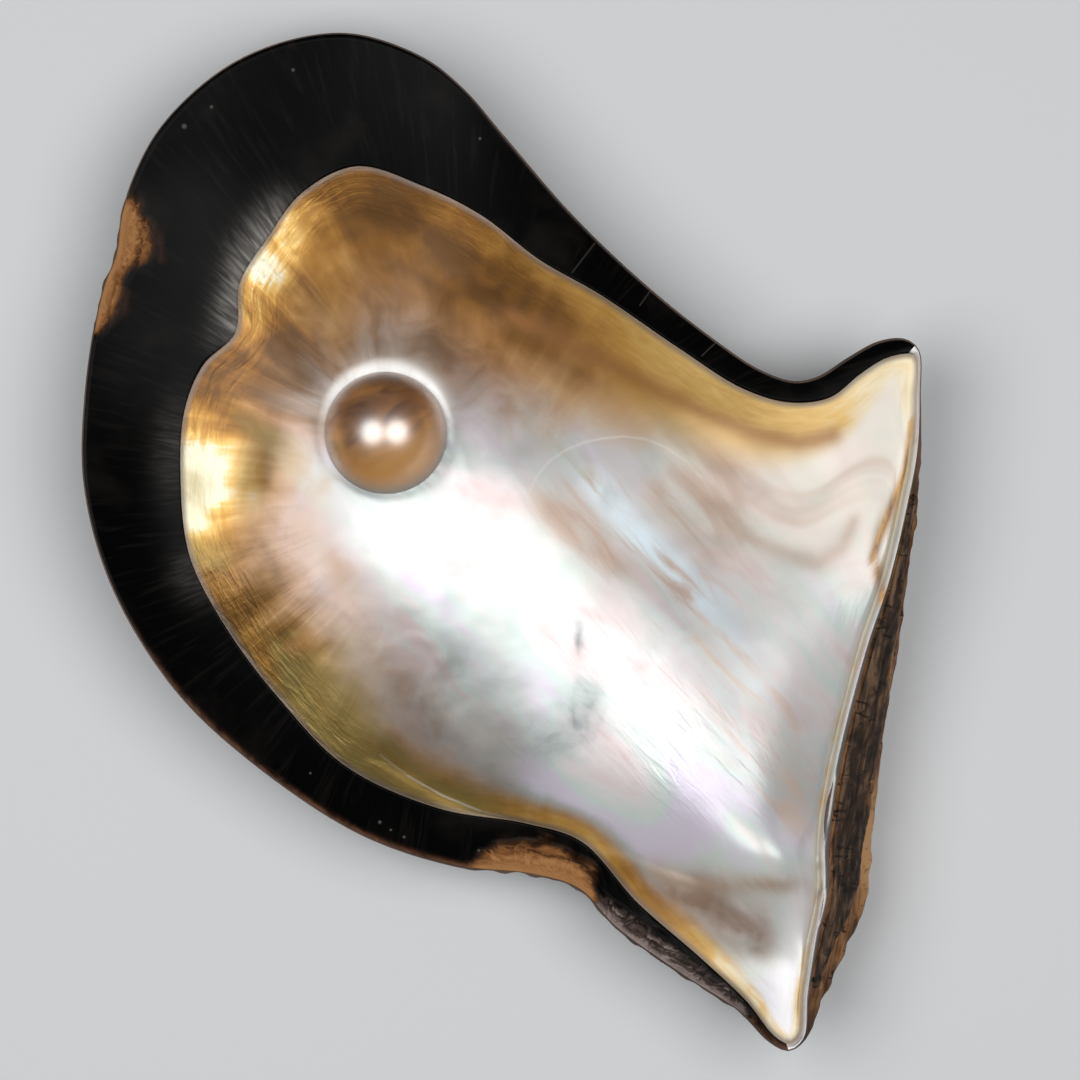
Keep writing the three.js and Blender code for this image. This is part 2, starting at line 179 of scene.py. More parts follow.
def evenly(curve, count):
    """count steps of equal length round a closed curve, ending where it starts."""
    closed = np.vstack((curve, curve[:1]))
    return at_lengths(closed, np.linspace(0, run_length(closed)[-1], count + 1))


def along(points, spacing=0.4):
    """Close points on an open line of straight stretches."""
    points = np.array(points, float)
    return at_lengths(points, np.arange(0, run_length(points)[-1], spacing))


def in_parts(x, y):
    """The places in parts small enough to set against a whole line, with the slice of each."""
    places = np.stack((x.ravel(), y.ravel()), axis=1)
    for start in range(0, len(places), PLACES_AT_ONCE):
        part = slice(start, start + PLACES_AT_ONCE)
        yield part, places[part, None, :]


def nearest(x, y, line):
    """The distance of each place to a line, and the number of its nearest point."""
    distance = np.empty(x.size)
    number = np.empty(x.size, int)
    for part, places in in_parts(x, y):
        squares = ((places - line[None, :, :2]) ** 2).sum(axis=2)
        number[part] = squares.argmin(axis=1)
        distance[part] = np.sqrt(squares.min(axis=1))
    return distance.reshape(x.shape), number.reshape(x.shape)


def edge_values(x, y):
    """The band's values at each place, from the stretches of the nacre's edge that are nearest to it."""
    line = nacre_curve[::EDGE_SKIP]
    values = np.empty((x.size, 3))
    for part, places in in_parts(x, y):
        distance = np.linalg.norm(places - line[None, :, :2], axis=2)
        weight = np.exp(-(distance - distance.min(axis=1, keepdims=True)) / EDGE_BLEND)
        values[part] = weight @ line[:, 2:] / weight.sum(axis=1)[:, None]
    return values.T.reshape(3, *x.shape)


def spots(x, y, *marks):
    """Soft round patches: x, y, half width and half height of each."""
    total = 0
    for at_x, at_y, wide, high in marks:
        total = total + np.exp(-(((x - at_x) / wide) ** 2) - ((y - at_y) / high) ** 2)
    return total


def height_field(points):
    """A smooth surface through x, y and height: cubic radial functions on a sloping plane."""
    unit = 10
    places = points[:, :2] / unit
    kernel = np.linalg.norm(places[:, None] - places[None], axis=2) ** 3
    plane = np.column_stack((np.ones(len(points)), places))
    matrix = np.block([[kernel, plane], [plane.T, np.zeros((3, 3))]])
    weights = np.linalg.solve(matrix, np.concatenate((points[:, 2], np.zeros(3))))

    def height(x, y):
        level, slope_x, slope_y = weights[-3:]
        total = level + slope_x * x / unit + slope_y * y / unit
        for (place_x, place_y), weight in zip(places, weights):
            total = total + weight * np.hypot(x / unit - place_x, y / unit - place_y) ** 3
        return total

    return height


def rough(x, y, wavelength, layer=0.0):
    """Smooth noise from -1 to 1, with the wavelength in millimetres."""
    places = zip(x.ravel() / wavelength, y.ravel() / wavelength)
    flat = [noise.noise(Vector((across, up, layer))) for across, up in places]
    return np.array(flat).reshape(x.shape)


def to_frame(x, y, z):
    """Plan millimetres to the part's frame in metres."""
    turned_x = x * math.cos(HINGE_LEAN) - y * math.sin(HINGE_LEAN)
    turned_y = x * math.sin(HINGE_LEAN) + y * math.cos(HINGE_LEAN)
    return np.stack((turned_x, turned_y, z), axis=-1) / 1000 + FRAME_SHIFT / 1000


margin_curve = closed_curve(MARGIN, CURVE_STEPS)
nacre_curve = closed_curve(NACRE_EDGE, CURVE_STEPS)
hollow = height_field(np.vstack((MARGIN[:, :3], HOLLOW)))


def reach_towards(curve, middle, turn):
    """How far from a middle a closed curve lies, in the direction of each turn."""
    curve_arm = curve[:, :2] - middle
    curve_turn = np.arctan2(curve_arm[:, 1], curve_arm[:, 0])
    return np.interp(turn, curve_turn, np.linalg.norm(curve_arm, axis=1), period=2 * math.pi)


def growth(x, y):
    """How far out a place lies among the growth lines: 0 at the umbo, 1 at the margin."""
    from_umbo_x = x - UMBO_AT[0]
    from_umbo_y = y - UMBO_AT[1]
    limit = reach_towards(margin_curve, UMBO_AT, np.arctan2(from_umbo_y, from_umbo_x))
    return np.hypot(from_umbo_x, from_umbo_y) / limit


# One spoke from the centre to each step round the margin
rim = evenly(margin_curve, SPOKES)
ahead = np.roll(rim[:-1, :2], -1, axis=0) - np.roll(rim[:-1, :2], 1, axis=0)
ahead /= np.linalg.norm(ahead, axis=1)[:, None]
outward = np.column_stack((ahead[:, 1], -ahead[:, 0]))
outward = np.vstack((outward, outward[:1]))
arm = rim[:, :2] - CENTRE
reach = np.linalg.norm(arm, axis=1)
bulge = rim[:, 3]
nacre_reach = reach_towards(nacre_curve, CENTRE, np.arctan2(arm[:, 1], arm[:, 0]))
nacre_reach = np.minimum(nacre_reach, reach - LEAST_BORDER)
border_width = reach - nacre_reach
bordered = eased(*BORDER_FADE, border_width)
edge_drop = EDGE_THICKNESS + UMBO_STEEPNESS * bulge


def inside_rings():
    """Shares of the way out along each spoke: the nacre, its lip and the border."""
    shares = [(k / FIELD_RINGS) ** FIELD_SPACING for k in range(FIELD_RINGS + 1)]
    field = [(nacre_reach - FIELD_STOP) / reach * share for share in shares]
    lip = [(nacre_reach - depth) / reach for depth in LIP_DEPTHS]
    foot = [(nacre_reach - depth * np.minimum(1, border_width)) / reach for depth in FOOT_DEPTHS]
    border = [foot[-1] + (1 - foot[-1]) * k / BORDER_RINGS for k in range(1, BORDER_RINGS + 1)]
    return np.array(field + lip + foot + border)


inside_share = inside_rings()
inside_x = CENTRE[0] + arm[:, 0] * inside_share
inside_y = CENTRE[1] + arm[:, 1] * inside_share
inside = (inside_x, inside_y)
nacre_rings = FIELD_RINGS + 1 + len(LIP_DEPTHS)
edge_depth = nacre_reach - inside_share * reach
out_share = np.clip((inside_share * reach - nacre_reach) / border_width, 0, 1)

# Forms of the inside, each as a change of height
BROAD_WAVE, MIDDLE_WAVE, FINE_WAVE = 11, 4, 1.7
BROAD_LUMP, MIDDLE_LUMP, FINE_LUMP = 0.09, 0.045, 0.012
FLAKE_LENGTH, FLAKE_DEPTH = 3.2, 1.1
BREAK_UNEVENNESS, LEAST_BREAK = 0.45, 0.01
RIPPLES, RIPPLE_HEIGHT, RIPPLE_WANDER, WANDER_WAVE = 8, 0.06, 0.35, 14
FOLD_HEIGHT, FOLD_EXTRA, FOLD_STEEP_SIDE, FOLD_GENTLE_SIDE = 0.25, 0.15, 1.1, 2.2
CREASE_DEPTH, CREASE_WIDTH = 0.32, 4.5
GROOVE_DEPTH, GROOVE_WIDTH, GROOVE_EXTRA = 0.12, 0.4, 0.5
TOOTH_HEIGHT = 0.5
COLLAR_HEIGHT, COLLAR_WIDTH = 0.35, 0.7
CHIP_DEPTH, CHIP_LAYERS = 0.9, 3
LAMINATE_DEPTH, LAMINATE_LAYERS = 0.35, 2
on_border = (np.arange(len(inside_share)) >= nacre_rings)[:, None]
edge_distance, _ = nearest(*inside, nacre_curve)
margin_distance, _ = nearest(*inside, margin_curve)
hinge_distance, _ = nearest(*inside, margin_curve[margin_curve[:, 3] > HINGE_BULGE])
pearl_distance = np.hypot(inside_x - PEARL_AT[0], inside_y - PEARL_AT[1])
from_pearl = np.clip(pearl_distance - PEARL_RADIUS, 0, None)
grown = growth(*inside)
broad = rough(*inside, BROAD_WAVE)
rim_run = run_length(rim)
flaked = rough(rim_run / FLAKE_LENGTH + 0 * inside_x, margin_distance / FLAKE_DEPTH, 1.0, 3.0)


def from_line(line, sharp=1.0):
    """The distance of each place on the inside to a line, and a taper that falls to 0 at the line's ends."""
    distance, number = nearest(*inside, along(line))
    return distance, np.sin(np.pi * (number + 1) / (number.max() + 2)) ** sharp


def inside_spots(*marks):
    return spots(*inside, *marks)


def beside(line, width, sharp=0.5):
    """1 on a line of the border, falling to 0 at an uneven width from it, with tapered ends."""
    distance, taper = from_line(line, sharp)
    uneven_width = width * taper * (1 + BREAK_UNEVENNESS * flaked) + LEAST_BREAK
    return np.clip(1 - distance / uneven_width, 0, 1) * on_border


chip = np.maximum.reduce([beside(line, chip_width) for line, chip_width, _ in BREAKS])
stain = np.maximum.reduce([beside(line, stain_width) for line, _, stain_width in BREAKS])
laminate = beside(LAMINATE, LAMINATE_WIDTH, 0.3)

inside_z = hollow(*inside)
inside_z -= LIP_ROUND * np.clip(1 - edge_depth / LIP_WIDTH, 0, 1) ** 2 * bordered * ~on_border
inside_z -= NACRE_STEP * (1 - out_share**2) * bordered * on_border
wing = eased(8, 26, inside_x) * eased(0.55, 0.75, grown) * eased(-12, 0, inside_y) * ~on_border
wander = RIPPLE_WANDER * rough(*inside, WANDER_WAVE, 7.0)
inside_z += RIPPLE_HEIGHT * wing * np.sin(2 * np.pi * (grown * RIPPLES + wander))
fold_points = along(LOWER_FOLD)
lower_fold, fold_step = nearest(*inside, fold_points)
under_fold = np.where(inside_y < fold_points[fold_step, 1], lower_fold, -lower_fold)
fold_height = FOLD_HEIGHT + FOLD_EXTRA * eased(-4, 8, inside_x)
fold_side = np.where(under_fold > 0, FOLD_STEEP_SIDE, FOLD_GENTLE_SIDE)
inside_z += fold_height * bell(under_fold, fold_side) * ~on_border
trough_edge, trough_taper = from_line(TROUGH_EDGE, 1.2)
inside_z -= CREASE_DEPTH * np.exp(-trough_edge / CREASE_WIDTH) * trough_taper
groove, _ = from_line(AMBER_GROOVE)
groove_width = GROOVE_WIDTH + GROOVE_EXTRA * bell(inside_y - 3, 5)
inside_z -= GROOVE_DEPTH * bell(groove, groove_width)
ridge = RIDGE_TOP - RIDGE_STEEPNESS * np.clip(hinge_distance - RIDGE_WIDTH, 0, None)
inside_z = np.maximum(inside_z, ridge)
inside_z += TOOTH_HEIGHT * inside_spots((39.2, -45.6, 1, 1), (39.3, -49.5, 0.9, 0.9))
inside_z -= TOOTH_HEIGHT * inside_spots((38.5, -47.6, 0.6, 0.6), (38.1, -49, 0.5, 0.5))
inside_z += COLLAR_HEIGHT * np.exp(-from_pearl / COLLAR_WIDTH)
lumps = BROAD_LUMP * broad + MIDDLE_LUMP * rough(*inside, MIDDLE_WAVE, 5.0)
lumps += FINE_LUMP * rough(*inside, FINE_WAVE, 9.0)
inside_z += lumps * ~on_border
inside_z -= CHIP_DEPTH * np.ceil(CHIP_LAYERS * chip) / CHIP_LAYERS * (0.75 + 0.25 * flaked)
inside_z -= LAMINATE_DEPTH * np.ceil(LAMINATE_LAYERS * laminate) / LAMINATE_LAYERS * (0.7 + 0.3 * flaked)

# The edge of the shell, and the band outside the hinge
JAG_DEPTH, JAG_LENGTH = 0.45, 2.2
BARK_ROWS, BARK_LENGTH, BARK_OUT, BARK_UP = 9, 9, 0.45, 0.3
edge_share = np.arange(1, EDGE_RINGS + 1)[:, None] / EDGE_RINGS
broken_rim = np.maximum(eased(FREE_BULGE, 0.8, bulge), np.maximum(chip, laminate)[-1] > 0)
jag = JAG_DEPTH * rough(rim_run[None] / JAG_LENGTH, 0 * rim_run[None], 1.0, 23.0) * broken_rim
edge_out = (bulge + jag * edge_share) * np.sin(edge_share * math.pi / 2)
edge_x = rim[:, 0] + outward[:, 0] * edge_out
edge_y = rim[:, 1] + outward[:, 1] * edge_out
edge_z = inside_z[-1] - edge_drop * edge_share
band = eased(0.5, 2.5, bulge) * np.ones(edge_x.shape)
bark_rise = rough(edge_share * BARK_ROWS + 0 * edge_x, edge_y / BARK_LENGTH, 1.0, 11.0)
bark_rise = bark_rise * np.sin(np.pi * edge_share)
edge_x += outward[:, 0] * BARK_OUT * bark_rise * band
edge_z += BARK_UP * bark_rise * band

# The back, offset from the inside by the thickness of the shell, in ledges of growth
LEDGES, LEDGE_HEIGHT, LEDGE_WANDER, LEDGE_WAVE = 9, 0.45, 0.35, 16
SKIN_HEIGHT, SKIN_WAVE = 0.12, 2.2
back_share = np.arange(BACK_RINGS - 1, -1, -1)[:, None] / BACK_RINGS
back_x = CENTRE[0] + arm[:, 0] * back_share
back_y = CENTRE[1] + arm[:, 1] * back_share
from_belly = np.hypot(back_x - BELLY_AT[0], back_y - BELLY_AT[1])
thickness = MIDDLE_THICKNESS + BELLY_THICKNESS * bell(from_belly, BELLY_SPREAD)
thickness += (EDGE_THICKNESS - thickness) * back_share**2
back_z = hollow(back_x, back_y) - thickness - (edge_drop - EDGE_THICKNESS) * back_share**3
back_grown = growth(back_x, back_y)
ledge = (back_grown * LEDGES + LEDGE_WANDER * rough(back_x, back_y, LEDGE_WAVE, 17.0)) % 1
clear = eased(0.2, 2.5, back_z + FRAME_SHIFT[2]) * (1 - back_share**10) * eased(0.2, 0.5, back_grown)
back_z += clear * (LEDGE_HEIGHT * ledge**2 + SKIN_HEIGHT * (1 + rough(back_x, back_y, SKIN_WAVE, 19.0)))
back_x = back_x + outward[:, 0] * bulge * back_share**4
back_y = back_y + outward[:, 1] * bulge * back_share**4
back_z = np.maximum(back_z, -FRAME_SHIFT[2])

lattice_x = np.vstack((inside_x, edge_x, back_x))
lattice_y = np.vstack((inside_y, edge_y, back_y))
lattice_z = np.vstack((inside_z, edge_z, back_z))
rings = len(lattice_x)

# Masks that the finishes read, one value for each point
band_width, tone_at_edge, tone_within = edge_values(*inside)


def zone(line, width, unevenness=0):
    """1 on a line of the inside, fading at an uneven width from it."""
    return bell(from_line(line)[0], width + unevenness * broad)


# Where the border's fibres are whitish, with a painted sheen
fibre_sheen_spots = 1.3 * inside_spots((-41.5, 43.5, 6, 6), (-44.5, 33, 4, 4))
fibre_sheen_spots += 0.22 * inside_spots((-55, 14, 5, 7), (-52, -6, 4, 4))
amber = bell(groove, groove_width) + inside_spots((48.3, -4.5, 0.7, 1.8), (48.9, -8, 0.6, 1.5))
pearl_turn = np.arctan2(inside_y - PEARL_AT[1], inside_x - PEARL_AT[0])
# Painted highlight: a near white crescent on the collar above the pearl, and a painted glow in rays beyond it
# to the upper left
highlight_crescent = bell(from_pearl, 1.5) * eased(-0.1, 0.75, np.sin(pearl_turn))
halo = np.exp(-from_pearl / 5) * eased(0.3, 0.95, np.cos(pearl_turn - math.radians(127)))
# Painted highlight: a near white strip along the hinge side of the ear and a spot at the umbo
hinge_highlight = bell(hinge_distance - 2.6, 2.4) * eased(-45, -53, inside_y)
hinge_highlight += inside_spots((39.2, -46.5, 1.2, 4))
# Painted light: less metal, so more pale diffuse colour, as a painted fill over the right half away from the
# trough, at the painted highlight above the pearl and on a painted light patch by the left lip
painted_light_matte = eased(-10, 10, inside_x) * (1 - 0.8 * zone(TROUGH, 8))
painted_light_matte = np.maximum.reduce((painted_light_matte, highlight_crescent, inside_spots((-42, 8, 3, 7))))
tone = tone_at_edge + (tone_within - tone_at_edge) * eased(1.5, 9, edge_distance)
# Painted highlight: the band made paler by the left lip
tone -= 0.4 * inside_spots((-42, 8, 3, 7), (-48, 8, 3.5, 6.5))
_, rust_taper = from_line(RUST_ZONE, 0.6)
fringe_width = 1.2 * band_width + 5 * eased(4, 10, band_width) * eased(24, 16, band_width)
warmed = inside_spots((23, 8, 11, 8), (8, 17, 9, 6), (4, 6, 7, 5), (12, -1, 7, 5), (21, 0, 7, 6))
warmed += inside_spots((26, -57, 8, 7), (17, -51, 7, 4))
inside_masks = {
    "gold": bell(edge_distance, band_width, 3) * ~on_border,
    "tone": tone,
    "olive": eased(24, 8, inside_y) * eased(0, -12, inside_x),
    "edge_depth": np.clip(edge_distance, 0, 40),
    "calm": eased(-2, 18, inside_x) * eased(-30, -10, inside_y),
    "rayed": (0.3 + 0.7 * eased(-18, -38, inside_x)) * bell(edge_distance, 16, 4),
    "margin_depth": margin_distance,
    "fibres": np.clip(fibre_sheen_spots, 0, 1) * bell(edge_distance, 3.2),
    "chip": chip,
    "stain": stain,
    "laminate": laminate,
    "russet": bell(margin_distance, 0.42) * eased(-8, -28, inside_y) * on_border,
    "slope": zone(STREAKS, 6.5),
    "blue": zone(BLUE_STREAK, 2.6),
    "rust": zone(RUST_ZONE, 2.8, 0.8) * rust_taper,
    "warm": np.clip(warmed, 0, 1),
    "dusk": inside_spots((24, -52.5, 5, 3.5), (18, -50, 5, 2.5), (30, -57, 3.5, 3.5)),
    # painted shade: brown just below the lower fold, where the wall turns away
    "shade_below_fold": bell(under_fold - 1.4, 1.5) * eased(4, 14, inside_x) * ~on_border,
    "beige": zone(BEIGE_ZONE, 3.4),
    "dull": inside_spots((5.7, -14.3, 0.7, 2.4), (0, -28.5, 6, 3), (6, -24.5, 3.5, 4)),
    "painted_light_matte": painted_light_matte * ~on_border,
    "highlight_crescent": highlight_crescent,
    "halo": halo,
    "hinge_highlight": np.clip(hinge_highlight, 0, 1),
    "fringe": bell(edge_distance, fringe_width, 3) * eased(24, 12, inside_x),
    "sand": zone(TAN_ZONE, 4, 1.2),
    # painted shade on the lower left wall
    "grey": zone(SHADE_ZONE, 5, 1.2),
    "trough": zone(TROUGH, 9) * eased(-6, 12, inside_x),
    "brown_stripe": zone(BROWN_STRIPE, 1.4, 0.4),
    "pink_stripe": zone(PINK_STRIPE, 1.1, 0.6),
    "wing": eased(18, 40, inside_x) * eased(-14, 6, inside_y) * ~on_border,
    "amber": np.clip(amber, 0, 1),
}
none_inside = np.zeros(inside_x.shape)
none_below = np.zeros((rings - len(inside_x), SPOKES + 1))
masks = {name: np.vstack((values, none_below)) for name, values in inside_masks.items()}
masks["grown"] = np.vstack((grown, np.ones(edge_x.shape), back_grown))
masks["hinge"] = np.vstack((none_inside, band, band[:1] * eased(0.86, 1.0, back_share)))
masks["tan"] = np.vstack((none_inside, spots(edge_x, edge_y, (48, -45, 3, 9)), 0 * back_x))
masks["rim"] = np.vstack((none_inside, np.ones(edge_x.shape), eased(0.97, 1, back_share + 0 * back_x)))
WELD_DISTANCE = 1e-7


def start_lattice(name, columns, rows):
    """A grid added flat, ready to be shaped."""
    bpy.ops.object.select_all(action="DESELECT")
    bpy.ops.mesh.primitive_grid_add(x_subdivisions=columns, y_subdivisions=rows, size=1)
    piece = bpy.context.object
    piece.name = name
    return piece


def close_lattice():
    """Welds the seam and the ends of the lattice in hand and turns its faces outwards."""
    bpy.ops.object.mode_set(mode="EDIT")
    bpy.ops.mesh.select_all(action="SELECT")
    bpy.ops.mesh.remove_doubles(threshold=WELD_DISTANCE)
    bpy.ops.mesh.normals_make_consistent(inside=False)
    bpy.ops.object.mode_set(mode="OBJECT")
    bpy.ops.object.shade_smooth()


valve = start_lattice("valve_shell", SPOKES, rings - 1)
valve.data.vertices.foreach_set("co", to_frame(lattice_x, lattice_y, lattice_z).ravel())
for name, values in masks.items():
    layer = valve.data.attributes.new(name, "FLOAT", "POINT")
    layer.data.foreach_set("value", values.ravel())
NACRE, BORDER, OUTSIDE = 0, 1, 2
face_ring = np.repeat(np.arange(rings - 1), SPOKES)
face_spoke = np.tile(np.arange(SPOKES), rings - 1)
finish = np.where(face_ring < nacre_rings - 1, NACRE, BORDER)
borderless = (bordered < BORDER_SEEN) | (bulge > FREE_BULGE)
finish = np.where((finish == BORDER) & borderless[face_spoke], NACRE, finish)
finish = np.where(face_ring >= len(inside_x), OUTSIDE, finish)
valve.data.polygons.foreach_set("material_index", finish.astype(np.int32))
close_lattice()


def join(tree, node, inputs):
    """Sets a node's inputs; an input is a value, a colour or another node's output."""
    for name, value in inputs.items():
        socket = node.inputs[name]
        if isinstance(value, bpy.types.NodeSocket):
            tree.links.new(value, socket)
        else:
            socket.default_value = (*value, 1) if socket.type == "RGBA" else value


def add(tree, kind, inputs=None, **settings):
    """A shader node with its settings and inputs."""
    made = tree.nodes.new("ShaderNode" + kind)
    for name, value in settings.items():
        setattr(made, name, value)
    join(tree, made, inputs or {})
    return made


def sums(tree, operation, first, second, clamp=False):
    return add(tree, "Math", {0: first, 1: second}, operation=operation, use_clamp=clamp).outputs[0]


def times(tree, first, second, clamp=False):
    return sums(tree, "MULTIPLY", first, second, clamp)


def plus(tree, first, second, clamp=False):
    return sums(tree, "ADD", first, second, clamp)


def mask(tree, name, strength=None):
    """One of a piece's own masks, as it is or times a strength."""
    value = add(tree, "Attribute", attribute_name=name).outputs["Fac"]
    return value if strength is None else times(tree, value, strength)


def about(tree, value, strength):
    """A value from 0 to 1 as a change of either sign."""
    return times(tree, sums(tree, "SUBTRACT", value, 0.5), strength)


def vectors(tree, operation, first, second=(0, 0, 0)):
    """A step of vector arithmetic; a length or a product comes out as a plain value."""
    made = add(tree, "VectorMath", {0: first, 1: second}, operation=operation)
    return made.outputs["Value" if operation in ("LENGTH", "DISTANCE", "DOT_PRODUCT") else "Vector"]


def scaled(tree, vector, size):
    return add(tree, "VectorMath", {0: vector, "Scale": size}, operation="SCALE").outputs[0]


def point(tree, **axes):
    return add(tree, "CombineXYZ", axes).outputs[0]


def blend(tree, share, low, high):
    return add(tree, "Mix", {0: share, 6: low, 7: high}, data_type="RGBA").outputs[2]


def spread(tree, value, low, high, to_low=0.0, to_high=1.0):
    """A value's range from low to high, eased, as a range from to_low to to_high."""
    ends = {"Value": value, "From Min": low, "From Max": high, "To Min": to_low, "To Max": to_high}
    return add(tree, "MapRange", ends, interpolation_type="SMOOTHSTEP").outputs[0]


def grain(tree, place, scale, detail=3.0, stretch=(1, 1, 1), turn=0.0, distortion=0.0):
    """Noise from 0 to 1 at a place, stretched along axes that are turned first."""
    sizes = tuple(1 / part for part in stretch)
    settings = {"Vector": place, "Rotation": (0, 0, turn), "Scale": sizes}
    mapped = add(tree, "Mapping", settings, vector_type="TEXTURE")
    ends = {"Vector": mapped.outputs[0], "Scale": scale, "Detail": detail, "Distortion": distortion}
    return add(tree, "TexNoise", ends).outputs["Fac"]


def stops(tree, value, *marks):
    """A colour ramp with a colour at each mark."""
    made = add(tree, "ValToRGB", {"Fac": value})
    ramp = made.color_ramp.elements
    while len(ramp) < len(marks):
        ramp.new(0.5)
    for element, (position, shade) in zip(ramp, marks):
        element.position = position
        element.color = (*shade, 1)
    return made.outputs[0]


def raised(tree, height, strength, distance):
    heights = {"Height": height, "Strength": strength, "Distance": distance}
    return add(tree, "Bump", heights).outputs[0]


def new_finish(name):
    """A material, its tree, its shader, and Object coordinates as places."""
    material = bpy.data.materials.new(name)
    material.use_nodes = True
    tree = material.node_tree
    place = add(tree, "TexCoord").outputs["Object"]
    return material, tree, tree.nodes["Principled BSDF"], place


def effect(name, inputs, build):
    """A node group with one mask as its output, for more than one finish."""
    group = bpy.data.node_groups.new(name, "ShaderNodeTree")
    for socket, kind in inputs.items():
        group.interface.new_socket(socket, in_out="INPUT", socket_type="NodeSocket" + kind)
    group.interface.new_socket("Mask", in_out="OUTPUT", socket_type="NodeSocketFloat")
    given = group.nodes.new("NodeGroupInput").outputs
    group.links.new(build(group, given), group.nodes.new("NodeGroupOutput").inputs["Mask"])
    return group


def use(tree, group, **inputs):
    return add(tree, "Group", inputs, node_tree=group).outputs["Mask"]


def fan(tree, given):
    """Uneven rays that spread from a middle."""
    arm = vectors(tree, "SUBTRACT", given["Place"], given["Middle"])
    arm = vectors(tree, "MULTIPLY", arm, (1, 1, 0))
    turned = scaled(tree, vectors(tree, "NORMALIZE", arm), given["Fineness"])
    out = times(tree, vectors(tree, "LENGTH", arm), given["Shortness"])
    return grain(tree, vectors(tree, "ADD", turned, point(tree, Z=out)), 1, 4, distortion=0.5)


def hairline(tree, given):
    """A thin straight line from one place to another, seen in plan."""
    arm = vectors(tree, "SUBTRACT", given["Place"], given["From"])
    arm = vectors(tree, "MULTIPLY", arm, (1, 1, 0))
    line = vectors(tree, "SUBTRACT", given["To"], given["From"])
    done = vectors(tree, "DOT_PRODUCT", arm, line)
    whole = vectors(tree, "DOT_PRODUCT", line, line)
    share = sums(tree, "DIVIDE", done, whole, clamp=True)
    distance = vectors(tree, "DISTANCE", arm, scaled(tree, line, share))
    return spread(tree, sums(tree, "DIVIDE", distance, given["Width"]), 1, 0.2)


def fibre_strands(tree, given):
    """Long strands that lie along the hinge, with short cracks across them."""
    coarse = grain(tree, given["Place"], 420, 8, stretch=(3, 0.3, 1.5), distortion=0.9)
    flakes = grain(tree, given["Place"], 300, 6, stretch=(1.5, 0.7, 1), distortion=1.2)
    crack = grain(tree, given["Place"], 420, 5, stretch=(0.7, 2.2, 1), distortion=0.8)
    fibre = plus(tree, times(tree, coarse, 0.55), times(tree, flakes, 0.45))
    return sums(tree, "SUBTRACT", fibre, spread(tree, crack, 0.42, 0.3, 0, 0.2))


rays = effect("rays", {"Place": "Vector", "Middle": "Vector", "Fineness": "Float", "Shortness": "Float"}, fan)
line_group = effect("line_group", {"Place": "Vector", "From": "Vector", "To": "Vector", "Width": "Float"}, hairline)
strands = effect("strands", {"Place": "Vector"}, fibre_strands)
FAN_AT = tuple(to_frame(-12, 8, 0))
UMBO_POINT = tuple(to_frame(*UMBO_AT, 0))


def line_mark(tree, place, start, end, width):
    """A thin line between two points of the plan, with its half width in metres: for cracks, specks, the
    scar's outline and a painted highlight along the lower fold.
    """
    ends = {"From": tuple(to_frame(*start, 0)), "To": tuple(to_frame(*end, 0))}
    return use(tree, line_group, Place=place, Width=width, **ends)


# Nacre: pale and silvery in the trough, with pink and blue streaks on the slope and a cream to brown band
# along its edge
nacre, tree, shader, place = new_finish("nacre")
ALONG_TROUGH = math.radians(-39)
cloud = grain(tree, place, 45, 3, distortion=0.6)
mottle = grain(tree, place, 110, 6, distortion=0.9)
freckle = grain(tree, place, 170, 6, distortion=0.3)
hue = grain(tree, place, 40, 4, stretch=(0.8, 1.8, 1), turn=ALONG_TROUGH, distortion=1.0)
streak = grain(tree, place, 170, 5, stretch=(0.4, 2.2, 1), turn=ALONG_TROUGH, distortion=0.7)
silver = stops(
    tree,
    hue,
    (0.34, (0.80, 0.63, 0.62)),
    (0.45, (0.84, 0.79, 0.78)),
    (0.55, (0.70, 0.79, 0.75)),
    (0.66, (0.77, 0.71, 0.82)),
)
tints = stops(
    tree,
    streak,
    (0.36, (0.49, 0.38, 0.33)),
    (0.46, (0.57, 0.51, 0.51)),
    (0.54, (0.48, 0.57, 0.58)),
    (0.64, (0.56, 0.48, 0.52)),
)
pale = blend(tree, mask(tree, "slope", 0.85), silver, tints)
pale = blend(tree, mask(tree, "wing", 0.6), pale, (0.80, 0.68, 0.56))
# Each patch: its mask, the noise in it, the noise's range and the shares it gives, and the colour
for name, pattern, ends, shade in (
    ("warm", streak, (0.3, 0.7, 0.95, 0.5), (0.47, 0.34, 0.26)),
    ("rust", streak, (0.34, 0.62, 0.95, 0.35), (0.40, 0.25, 0.17)),
    ("blue", streak, (0.34, 0.56, 0, 1), (0.66, 0.76, 0.82)),
    ("dusk", freckle, (0.3, 0.7, 0, 1), (0.33, 0.22, 0.16)),
    ("beige", streak, (0.35, 0.6, 0.8, 0.35), (0.72, 0.58, 0.47)),
    # the next row is painted shade below the lower fold
    ("shade_below_fold", streak, (0.3, 0.6, 0.4, 0.9), (0.44, 0.31, 0.22)),
):
    share = mask(tree, name, spread(tree, pattern, *ends))
    pale = blend(tree, share, pale, shade)
blotch = spread(tree, freckle, 0.3, 0.7)
dulled = times(tree, mask(tree, "dull"), spread(tree, blotch, 0.1, 0.9, 0.4, 1), clamp=True)
pale = blend(tree, dulled, pale, (0.26, 0.28, 0.29))
axes = add(tree, "SeparateXYZ", {0: place}).outputs
growth_place = point(tree, X=mask(tree, "grown", 16), Y=times(tree, axes["Y"], 30))
stripe = spread(tree, grain(tree, growth_place, 1, 2), 0.5, 0.68)
striped = times(tree, stripe, mask(tree, "wing", 0.55))
pale = blend(tree, striped, pale, (0.62, 0.46, 0.36))
